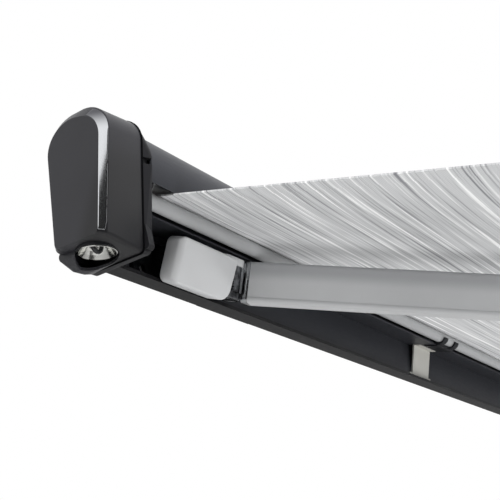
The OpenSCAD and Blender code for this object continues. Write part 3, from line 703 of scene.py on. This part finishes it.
    def dress(self, paint: Paint) -> None:
        """Gives the cloth its finish and its bodies, and hides the CAD canopy and fabric roll."""
        sheet, *hems, run, roll = self.pieces
        for piece in self.pieces:
            paint.coat(piece, CLOTH)
        for piece in (sheet, *hems):
            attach(piece, Body.CASSETTE.value)
            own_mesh(piece)
        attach(run, Body.CASSETTE.value)
        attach(roll, Body.ROLLER.value)
        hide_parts("canopy")
        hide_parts("fabric_roll")


@dataclass
class ShoulderCover(Assembly):
    """Light grey hood over the shoulder casting, open behind and at the arm.

    It is drawn in a frame at the shoulder pins that leans a little more than the arms.

    Attributes:
        tilt: Slope of that frame, in degrees.
        x: Outer and inner end, in mm.
        d: Back and front, outward from the pins, in mm.
        h: Bottom and top, square to d, in mm.
        edge: Radius of most edges, in mm.
        corner: Radius round its outer end, in mm.
        toe: Radius of its lower inner corner, in mm.
        wall: Its wall, in mm.
        deep: How much further back the block it is cut from goes, in mm.
    """

    tilt: float = 19.0
    x: Pair = (-1464.0, -1359.2)
    d: Pair = (-3.5, 17.0)
    h: Pair = (-30.4, 21.8)
    edge: float = 4.0
    corner: float = 9.0
    toe: float = 17.0
    wall: float = 2.4
    deep: float = 30.0

    def build(self) -> None:
        """Builds the left hood and its mirrored twin."""
        (x0, x1), (d0, d1), (h0, h1) = self.x, self.d, self.h
        obj = block(Vector(((x0 + x1) / 2, -(d1 + d0 - self.deep) / 2, (h0 + h1) / 2)) * MM,
                    (x1 - x0, d1 - d0 + self.deep, h1 - h0))
        edit(obj, lambda a, b: min(a.x, b.x) > (x1 - 1) * MM
             and max(a.z, b.z) < (h0 + 1) * MM, edges=True)
        bpy.ops.mesh.bevel(offset=self.toe * MM, segments=10, affect="EDGES")
        leave()
        edit(obj, lambda a, b: max(a.x, b.x) < (x0 + 1) * MM
             and min(a.y, b.y) < (1 - d1) * MM, edges=True)
        bpy.ops.mesh.bevel(offset=self.corner * MM, segments=8, affect="EDGES")
        edit(obj, lambda c, n: n.x > 0.999 or n.y > 0.999)
        bpy.ops.mesh.delete(type="FACE")
        leave()
        bevel(obj, self.edge, segments=5, angle=50)
        edit(obj)
        bpy.ops.mesh.bisect(plane_co=(0, -d0 * MM, 0), plane_no=(0, 1, 0), clear_outer=True)
        leave()
        modifier(obj, "SOLIDIFY", thickness=self.wall * MM, offset=-1.0)
        bevel(obj, width=0.5, segments=2, angle=60)
        obj.rotation_euler = (math.radians(self.tilt), 0, 0)
        obj.location = at_pins(0)
        left = settle(obj, "shoulder_hood_left")
        self.pieces = [left, twin(left)]

    def dress(self, paint: Paint) -> None:
        """Gives the hoods their finish and fixes them to the cassette."""
        for piece, node in zip(self.pieces, both("shoulder_cover")):
            paint.coat(piece, COVER_PLASTIC)
            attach(piece, Body.CASSETTE.value)
            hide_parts(node)


@dataclass
class ShoulderEars(Assembly):
    """Lugs over the ears of the shoulder forks, with a recess round each pin head.

    Attributes:
        x: Place of the pin along the cassette, in mm.
        radius: Radius of a lug, in mm.
        reach: How far a lug runs from the pin towards the hood, in mm.
        inner: Height of its inner face from the arm plane, in mm.
        outer: Height of its outer face, in mm.
        recess: Radius of the recess for the pin head, in mm.
        sunk: Depth of that recess, in mm.
    """

    x: float = 1340.0
    radius: float = 11.9
    reach: float = 20.6
    inner: float = 15.7
    outer: float = 24.4
    recess: float = 8.2
    sunk: float = 1.6

    def lug(self, name: str, sign: int) -> Object:
        """Builds one lug, above the arm plane for sign 1 and below it for -1."""
        tall = (self.outer - self.inner) * MM
        bpy.ops.mesh.primitive_cylinder_add(vertices=48, radius=self.radius * MM, depth=tall)
        obj = bpy.context.object
        # The side towards the hood is drawn out to it, so the disc becomes a tongue.
        edit(obj, lambda centre, normal: normal.x < -0.35 and abs(normal.z) < 0.1)
        bpy.ops.transform.translate(value=(-self.reach * MM, 0, 0))
        leave()
        edit(obj, lambda centre, normal: normal.z * sign > 0.9)
        bpy.ops.mesh.inset(thickness=(self.radius - self.recess) * MM)
        bpy.ops.mesh.extrude_region_move(
            TRANSFORM_OT_translate={"value": (0, 0, -self.sunk * MM * sign)})
        leave()
        bevel(obj, width=0.8, segments=3, angle=40)
        obj.rotation_euler = (PITCH, 0, 0)
        obj.location = at_pins(-self.x, sign * (self.inner + self.outer) / 2)
        return settle(obj, name)

    def build(self) -> None:
        """Builds the upper and lower lug of each shoulder."""
        for level, sign in (("upper", 1), ("lower", -1)):
            left = self.lug(f"shoulder_lug_{level}_left", sign)
            self.pieces += [left, twin(left)]

    def dress(self, paint: Paint) -> None:
        """Paints the upper lugs like the hood and the lower ones like the castings."""
        for piece in self.pieces:
            upper = "upper" in piece.name
            paint.coat(piece, COVER_PLASTIC if upper else POLISHED_CASTING_PAINTED_GLINTS)
            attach(piece, Body.CASSETTE.value)


@dataclass
class ArmEndPlates(Assembly):
    """Polished plates round the shoulder end of the upper arms.

    Attributes:
        x: Place of the shoulder pin along the cassette, in mm.
        angle: Angle of the arms away from straight out, in degrees.
        along: Start and end of a plate along the arm, in mm.
        side: Its middle, beside the pin, in mm.
        size: Its width beside the arm and its height, in mm.
        corner: Radius of its corners, in mm.
        rim: Width and height of its raised rim, in mm.
    """

    x: float = 1340.0
    angle: float = 19.0
    along: Pair = (12.3, 19.6)
    side: float = 14.05
    size: Pair = (23.0, 51.0)
    corner: float = 4.8
    rim: Pair = (1.4, 0.4)

    def arm_frame(self) -> Matrix:
        """Returns the left upper arm's frame, with X along the arm from its pin."""
        turn = math.radians(self.angle)
        along = Vector((math.sin(turn), 0, 0)) + Vector(ARM_OUT) * math.cos(turn)
        up = Vector(ARM_UP)
        axes = Matrix((along, up.cross(along), up)).transposed().to_4x4()
        return Matrix.Translation(at_pins(-self.x)) @ axes

    def build(self) -> None:
        """Builds the left plate, with a raised rim, and its twin."""
        a, b = self.along
        obj = block(Vector(((a + b) / 2, self.side, 0)) * MM, (b - a, *self.size))
        edit(obj, lambda p, q: abs(p.x - q.x) > (b - a) * MM * 0.9, edges=True)
        bpy.ops.mesh.bevel(offset=self.corner * MM, segments=6, affect="EDGES")
        leave()
        edit(obj, lambda c, n: n.x < -0.9)
        bpy.ops.mesh.inset(thickness=self.rim[0] * MM)
        bpy.ops.mesh.extrude_region_move(
            TRANSFORM_OT_translate={"value": (self.rim[1] * MM, 0, 0)})
        leave()
        bevel(obj, width=0.6, segments=2, angle=40)
        obj.matrix_world = self.arm_frame()
        left = settle(obj, "arm_end_plate_left")
        self.pieces = [left, twin(left)]

    def dress(self, paint: Paint) -> None:
        """Polishes the plates and fixes them to the arms."""
        for piece, body in zip(self.pieces, (Body.ARM_LEFT, Body.ARM_RIGHT)):
            paint.coat(piece, END_PLATE)
            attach(piece, body.value)


@dataclass
class CapShells(Assembly):
    """The end caps again, with joined faces, so that their lofted sides shade as one surface.

    Attributes:
        weld: Distance within which corners are joined, in mm.
        smooth: Edges flatter than this many degrees are shaded smooth.
    """

    weld: float = 0.004
    smooth: float = 22.0

    def build(self) -> None:
        """Copies both caps and joins their faces."""
        for side in ("left", "right"):
            copy = own_copy(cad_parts[f"end_cap_{side}"])
            edit(copy)
            bpy.ops.mesh.remove_doubles(threshold=self.weld * MM)
            leave()
            if copy.data.has_custom_normals:
                bpy.ops.mesh.customdata_custom_splitnormals_clear()
            self.pieces.append(settle(copy, f"cap_shell_{side}", self.smooth))

    def dress(self, paint: Paint) -> None:
        """Gives the caps their moulded finish with its painted shade and fixes them to the
        cassette.
        """
        for piece in self.pieces:
            paint.coat(piece, ANTHRACITE_CAP_SHADED)
            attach(piece, Body.CASSETTE.value)
            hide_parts(piece.name.replace("cap_shell", "end_cap"))


@dataclass
class CapTrim(Assembly):
    """Bright strip down the cap's front bevel; the seam between cap and end plate as painted
    shadow.

    Rounds are (s, z, radius) in mm, upper one first, of the cap's outline at its face, at the
    bevel's foot and at the seam.

    Attributes:
        face_x: Distance of the cap's face from the middle of the cassette, in mm.
        foot_x: Distance of the bevel's foot, in mm.
        seam_x: Distance of the seam, in mm.
        face: Rounds of the face.
        foot: Rounds of the bevel's foot.
        seam: Rounds of the seam.
        share: Where the strip's edges lie between face and foot.
        proud: How far the strip stands out of the bevel, in mm.
        crown: How much further its middle stands out, as a share.
        top: Angle on the upper round where the strip ends, in degrees.
        straight: Share of the strip below the upper round.
        tapers: How fast the strip narrows past its upper quarter and at its foot.
        gauge: Thickness of the strip, in mm.
        groove_size: Width and thickness of the seam's band, in mm.
        inside: How far inside the seam the band starts, in mm.
    """

    face_x: float = 1613.9
    foot_x: float = 1607.0
    seam_x: float = 1559.5
    face: tuple[Triple, ...] = ((43, -30, 28), (64, -129.5, 4))
    foot: tuple[Triple, ...] = ((47, -24, 33), (70, -130, 5))
    seam: tuple[Triple, ...] = (
        (52, -20, 30.3), (36, -30, 38.3), (75, -137, 5.3), (12, -138, 8.3))
    share: Pair = (0.05, 0.90)
    proud: float = 0.5
    crown: float = 0.16
    top: float = 64.0
    straight: float = 0.6
    tapers: Pair = (0.45, 3.15)
    gauge: float = 0.9
    groove_size: Pair = (1.8, 0.7)
    inside: float = 0.1

    def front(self, rounds: Sequence[Triple], q: float) -> Vector:
        """Point of an outline's front, from its foot at q 0 over its top round at q 1.

        Args:
            rounds: Upper and lower round.
            q: Share of the way.

        Returns:
            The section point (s, z), in mm.
        """
        (s0, z0, r0), (s1, z1, r1) = rounds
        gap = math.dist((s0, z0), (s1, z1))
        lean = math.atan2(z1 - z0, s1 - s0) + math.acos((r0 - r1) / gap)
        upper = Vector((s0 + r0 * math.cos(lean), z0 + r0 * math.sin(lean)))
        lower = Vector((s1 + r1 * math.cos(lean), z1 + r1 * math.sin(lean)))
        if q < self.straight:
            return lower.lerp(upper, q / self.straight)
        angle = lean + (math.radians(self.top) - lean) * (q - self.straight) / (1 - self.straight)
        return Vector((s0 + r0 * math.cos(angle), z0 + r0 * math.sin(angle)))

    def strip(self) -> Object:
        """Builds the left strip, crowned across and rounded off at its foot."""
        bpy.ops.mesh.primitive_grid_add(x_subdivisions=8, y_subdivisions=60, size=1)
        obj = bpy.context.object
        for vertex in obj.data.vertices:
            across, q = vertex.co.x + 0.5, vertex.co.y + 0.5
            a, b = self.share
            b -= self.tapers[0] * max(q - 0.75, 0) + self.tapers[1] * max(0.05 - q, 0)
            face = at(-self.face_x, *self.front(self.face, q))
            foot = at(-self.foot_x, *self.front(self.foot, q))
            slope = self.front(self.foot, min(q + 0.01, 1)) - self.front(
                self.foot, max(q - 0.01, 0))
            run = at(0, slope.x, slope.y) - at(0, 0, 0)
            normal = (foot - face).cross(run).normalized()
            if normal.x > 0:
                normal = -normal
            lift = self.proud * (1 + self.crown * math.sin(math.pi * across))
            vertex.co = face.lerp(foot, a + (b - a) * across) + normal * lift * MM
        modifier(obj, "SOLIDIFY", thickness=self.gauge * MM, offset=-1.0)
        edit(obj)
        bpy.ops.mesh.normals_make_consistent(inside=False)
        leave()
        bevel(obj, width=0.25, segments=2, angle=50)
        return settle(obj, "cap_strip_left", 45)

    def groove(self) -> Object:
        """Builds the left seam: a thin dark band of painted shadow that follows the cap's
        outline.
        """
        bpy.ops.mesh.primitive_circle_add(vertices=120, radius=1)
        obj = bpy.context.object
        for i, vertex in enumerate(obj.data.vertices):
            turn = 2 * math.pi * i / len(obj.data.vertices)
            u = (math.cos(turn), math.sin(turn))
            s, z, r = max(self.seam, key=lambda c: c[0] * u[0] + c[1] * u[1] + c[2])
            vertex.co = at(-self.seam_x + self.inside, s + r * u[0], z + r * u[1])
        edit(obj, edges=True)
        bpy.ops.mesh.extrude_region_move(
            TRANSFORM_OT_translate={"value": (-self.groove_size[0] * MM, 0, 0)})
        leave()
        edit(obj)
        bpy.ops.mesh.normals_make_consistent(inside=False)
        leave()
        modifier(obj, "SOLIDIFY", thickness=self.groove_size[1] * MM, offset=0.4)
        return settle(obj, "cap_seam_left")

    def build(self) -> None:
        """Builds both strips and both seams."""
        for left in (self.strip(), self.groove()):
            self.pieces += [left, twin(left)]

    def dress(self, paint: Paint) -> None:
        """Chromes the strips, gives the seams their painted shadow and fixes them to the
        cassette.
        """
        for piece in self.pieces:
            bright = "strip" in piece.name
            paint.coat(piece, CHROME_TRIM_PAINTED_REFLECTION if bright else SEAM_PAINTED_SHADOW)
            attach(piece, Body.CASSETTE.value)
        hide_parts("trim_strip_left")
        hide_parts("trim_strip_right")


@dataclass(frozen=True)
class Lamp:
    """Square soft lamp: its place, what it points at, its edge in metres and its watts."""

    name: str
    place: Triple
    aim: Triple
    size: float
    power: float

    def hang(self) -> None:
        """Adds the lamp. Reflections don't show it, so that bright metal stays calm."""
        data = bpy.data.lights.new(self.name, "AREA")
        data.size = self.size
        data.energy = self.power
        obj = bpy.data.objects.new(self.name, data)
        bpy.context.collection.objects.link(obj)
        obj.location = self.place
        obj.visible_glossy = False
        look = Vector(self.aim) - Vector(self.place)
        obj.rotation_euler = look.to_track_quat("-Z", "Y").to_euler()


@dataclass
class Studio:
    """Camera at the photograph's viewing angle, pale floor, and soft lamps.

    Attributes:
        place: Place of the camera.
        right: Direction that is right in its picture.
        up: Direction that is up in its picture.
        lens: Focal length, in mm.
        floor_z: Height of the floor.
        board: Left and right end, place in front, bottom and top of the dark board.
        fill: Strength of the surround's light on the object.
        lamps: The lamps.
    """

    place: Triple = (-2.2796, -0.6630, -0.4311)
    right: Triple = (0.5537, -0.8298, -0.0698)
    up: Triple = (-0.2585, -0.2510, 0.9329)
    lens: float = 72.5
    floor_z: float = -2.35
    board: tuple[float, float, float, float, float] = (-7.0, -1.5, -1.5, -0.9, 0.935)
    fill: float = 0.34
    lamps: tuple[Lamp, ...] = (
        Lamp("lamp_below", (-1.3, -2.8, -1.9), (-1.0, -0.9, -0.1), 1.3, 34),
        Lamp("lamp_right", (1.6, -1.1, -1.3), (-1.1, -0.8, -0.1), 0.6, 40),
        Lamp("lamp_over", (-2.6, -2.2, 2.8), (-1.0, -0.6, 0.0), 2.4, 280),
        Lamp("lamp_side", (-4.6, -0.4, 0.2), (-1.5, -0.4, -0.1), 1.6, 16))

    def camera(self) -> None:
        """Sets up the camera."""
        data = bpy.data.cameras.new("camera")
        data.lens = self.lens
        data.sensor_width = 36.0
        data.clip_end = 60.0
        obj = bpy.data.objects.new("camera", data)
        bpy.context.collection.objects.link(obj)
        right, up = Vector(self.right).normalized(), Vector(self.up).normalized()
        back = right.cross(up).normalized()
        up = back.cross(right)
        turn = Matrix((right, up, back)).transposed().to_4x4()
        obj.matrix_world = Matrix.Translation(self.place) @ turn
        bpy.context.scene.camera = obj

    @staticmethod
    def matt(name: str, colours: tuple[str, str], scale: float, detail: float) -> Material:
        """Makes a matt material of two close colours, for the floor and the board."""
        material, tree = blank_material(name)
        grain = add_node(tree, "ShaderNodeTexNoise", {"Scale": scale, "Detail": detail},
                         {"Vector": add_node(tree, "ShaderNodeTexCoord").outputs["Object"]})
        surface(tree, {"Roughness": 0.9},
                {"Base Color": blend(tree, grain.outputs["Fac"], *colours)})
        return material

    def floor(self) -> None:
        """Adds the pale floor."""
        bpy.ops.mesh.primitive_plane_add(size=60, location=(0, -1.2, self.floor_z))
        obj = bpy.context.object
        obj.name = "floor"
        obj.data.materials.append(self.matt("pale_floor", ("#f4f4f4", "#efefef"), 3.0, 3.0))

    def world(self) -> None:
        """Sets a white surround for the camera and the gloss over a softer fill light."""
        world = bpy.data.worlds.new("studio")
        world.use_nodes = True
        tree = world.node_tree
        tree.nodes.clear()
        rays = add_node(tree, "ShaderNodeLightPath").outputs
        seen = rays["Is Camera Ray"]
        for kind in ("Is Glossy Ray", "Is Transmission Ray"):
            seen = add_node(tree, "ShaderNodeMath", {"operation": "MAXIMUM"},
                            {0: seen, 1: rays[kind]}).outputs[0]
        fill, white = (add_node(tree, "ShaderNodeBackground",
                                {"Color": linear("#ffffff"), "Strength": strength}).outputs[0]
                       for strength in (self.fill, 1.0))
        mixed = add_node(tree, "ShaderNodeMixShader", {}, {0: seen, 1: fill, 2: white})
        add_node(tree, "ShaderNodeOutputWorld", {}, {"Surface": mixed.outputs[0]})
        bpy.context.scene.world = world

    def flag(self) -> None:
        """Adds a dark board that only the gloss sees, so bright metal has something to mirror."""
        x0, x1, y, z0, z1 = self.board
        bpy.ops.mesh.primitive_plane_add(size=1, location=((x0 + x1) / 2, y, (z0 + z1) / 2),
                                         rotation=(math.pi / 2, 0, 0))
        obj = bpy.context.object
        obj.scale = (x1 - x0, z1 - z0, 1)
        bpy.ops.object.transform_apply()
        obj.name = "studio_flag"
        obj.data.materials.append(
            self.matt("black_cloth_board", ("#101010", "#181818"), 4.0, 2.0))
        for rays in ("camera", "diffuse", "shadow", "transmission"):
            setattr(obj, f"visible_{rays}", False)

    def build(self) -> None:
        """Sets up the camera, the floor, the surround and the lamps."""
        self.camera()
        self.flag()
        self.floor()
        self.world()
        for lamp in self.lamps:
            lamp.hang()
        bpy.context.scene.view_settings.view_transform = "Standard"


def paint_nodes(paint: Paint) -> None:
    """Gives every CAD node its finish."""
    left = set(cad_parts)
    for finish, names in NODE_FINISH.items():
        for name in names:
            paint.coat(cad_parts[name], finish)
            left.discard(name)
    LOG.info("nodes without a finish of their own: %s", sorted(left))


def main() -> None:
    """Builds the sub-assemblies in order and reports each piece."""
    logging.basicConfig(level=logging.INFO, format="%(name)s %(message)s")
    Studio().build()
    paint = Paint()
    paint_nodes(paint)
    for assembly in (Canopy(), ShoulderCover(), ShoulderEars(), ArmEndPlates(),
                     CapShells(), CapTrim()):
        assembly.build()
        assembly.dress(paint)
        for piece in assembly.pieces:
            LOG.info("%s: %s, %d faces", type(assembly).__name__, piece.name,
                     len(piece.data.polygons))


if __name__ == "__main__":
    main()
